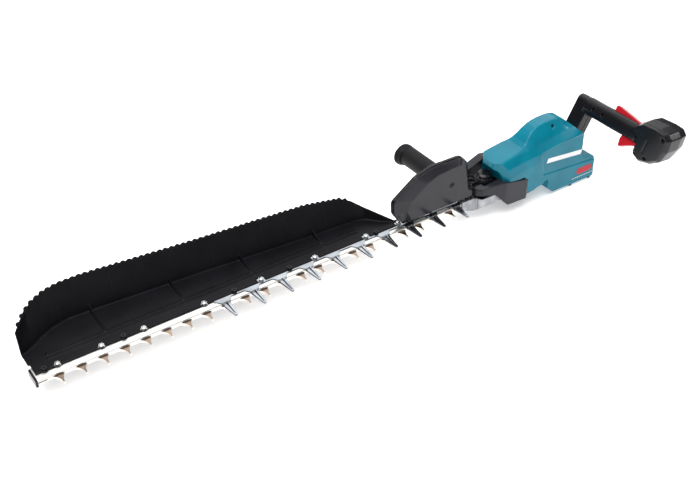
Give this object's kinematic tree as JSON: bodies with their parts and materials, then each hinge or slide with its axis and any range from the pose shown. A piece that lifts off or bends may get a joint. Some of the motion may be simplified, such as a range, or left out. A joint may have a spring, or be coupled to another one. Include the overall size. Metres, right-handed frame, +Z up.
{
  "type": "hedge trimmer",
  "caption": "Cordless single-sided hedge trimmer with a long toothed cutter bar, chip scoop, hand guard, teal motor housing, side front handle and a cranked rear handle.",
  "frame": {"origin": "on the crank axis, at the flat underside of the aluminium gear case that holds the cutter bar", "axes": "+X towards the rear handle (the cutter bar runs along -X), -Y towards the cutting teeth, +Z up"},
  "size_m": [1.128, 0.3064, 0.172],
  "materials": {
    "bar_steel": "satin",
    "blade_steel": "ground, bright at the cutting edges",
    "comb_steel": "pressed sheet, satin",
    "fastener_steel": "zinc plated",
    "black_fastener": "black oxide",
    "bearing_steel": "polished",
    "gear_steel": "hardened, oiled",
    "core_steel": "stacked sheet",
    "copper": "enamelled wire",
    "case_aluminium": "die cast",
    "case_painted": "die cast, dark paint",
    "receiver_plastic": "moulded, fine texture",
    "housing_teal": "moulded, satin",
    "grey_plastic": "moulded, satin",
    "black_plastic": "moulded, fine texture",
    "soft_rubber": "soft grip, ribbed",
    "red_plastic": "moulded, smooth",
    "board_resin": "potted board with heat sink",
    "contact_brass": "plated",
    "spring_steel": "drawn wire"
  },
  "bodies": {
    "main": {"guide_bar": "bar_steel", "under_plate": "bar_steel", "blunt_comb": "comb_steel", "blade_spacers": "fastener_steel", "blade_bolts": "fastener_steel", "blade_nuts": "fastener_steel", "blade_tip_cap": "black_plastic", "chip_receiver": "receiver_plastic", "receiver_screws": "black_fastener", "gear_case_lower": "case_aluminium", "gear_case_upper": "case_painted", "gear_case_screws": "fastener_steel", "holder_bolts": "fastener_steel", "crank_cap": "black_plastic", "idler_pin": "gear_steel", "crank_bearing_lower": "bearing_steel", "crank_bearing_upper": "bearing_steel", "motor_bearing_lower": "bearing_steel", "motor_bearing_upper": "bearing_steel", "motor_stator": "core_steel", "stator_coils": "copper", "motor_controller": "board_resin", "housing_right": "housing_teal", "housing_left": "housing_teal", "housing_screws": "black_fastener", "underside_vent": "black_plastic", "vent_plug": "soft_rubber", "battery_rail": "black_plastic", "terminal_block": "black_plastic", "terminal_contacts": "contact_brass", "rubber_feet": "soft_rubber", "guard_front_shell": "grey_plastic", "guard_back_shell": "black_plastic", "guard_screw": "black_fastener", "gear_cover": "grey_plastic", "gear_cover_left": "grey_plastic", "front_handle_core": "black_plastic", "front_handle_bolt": "black_fastener", "front_grip": "soft_rubber", "rear_handle_front_half": "black_plastic", "rear_handle_back_half": "soft_rubber", "end_guard_front": "black_plastic", "end_guard_back": "black_plastic", "handle_screws": "black_fastener", "trigger_pin": "spring_steel", "trigger_spring": "spring_steel", "lock_pin": "spring_steel", "lock_spring": "spring_steel", "trigger_switch": "black_plastic"},
    "crank": {"crank_shaft": "gear_steel", "crank_gear": "gear_steel"},
    "idler": {"idler_gear": "gear_steel"},
    "motor": {"motor_rotor": "core_steel", "motor_pinion": "gear_steel", "cooling_fan": "black_plastic"},
    "upper_blade": {"upper_shear_blade": "blade_steel"},
    "lower_blade": {"lower_shear_blade": "blade_steel"},
    "trigger": {"trigger": "red_plastic"},
    "lock_lever": {"lock_lever": "red_plastic"}
  },
  "joints": [
    {"name": "crank_spin", "type": "hinge", "parent": "main", "child": "crank", "pos_m": [0, 0, 0], "axis": [0, 0, 1], "continuous": true},
    {"name": "idler_spin", "type": "hinge", "parent": "main", "child": "idler", "pos_m": [0.039, 0, 0], "axis": [0, 0, 1], "continuous": true},
    {"name": "motor_spin", "type": "hinge", "parent": "main", "child": "motor", "pos_m": [0.0615, 0, 0], "axis": [0, 0, 1], "continuous": true},
    {"name": "upper_blade_slide", "type": "slide", "parent": "main", "child": "upper_blade", "axis": [1, 0, 0], "range_m": [-0.0085, 0.0085]},
    {"name": "lower_blade_slide", "type": "slide", "parent": "main", "child": "lower_blade", "axis": [1, 0, 0], "range_m": [-0.0085, 0.0085]},
    {"name": "trigger_pull", "type": "hinge", "parent": "main", "child": "trigger", "pos_m": [0.23924, -0.1285, 0.11394], "axis": [0.8829, 0, -0.4695], "range_deg": [0, 12], "stiffness_Nm_per_rad": 0.4, "springref_deg": -11.46},
    {"name": "lock_press", "type": "hinge", "parent": "main", "child": "lock_lever", "pos_m": [0.24699, -0.123, 0.12851], "axis": [-0.8829, 0, 0.4695], "range_deg": [0, 10], "stiffness_Nm_per_rad": 0.4, "springref_deg": -11.46}
  ],
  "couplings": [
    {"joint": "idler_spin", "follows": "crank_spin", "ratio": -1.6},
    {"joint": "motor_spin", "follows": "crank_spin", "ratio": 3.2},
    {"joint": "lower_blade_slide", "follows": "upper_blade_slide", "ratio": -1}
  ]
}
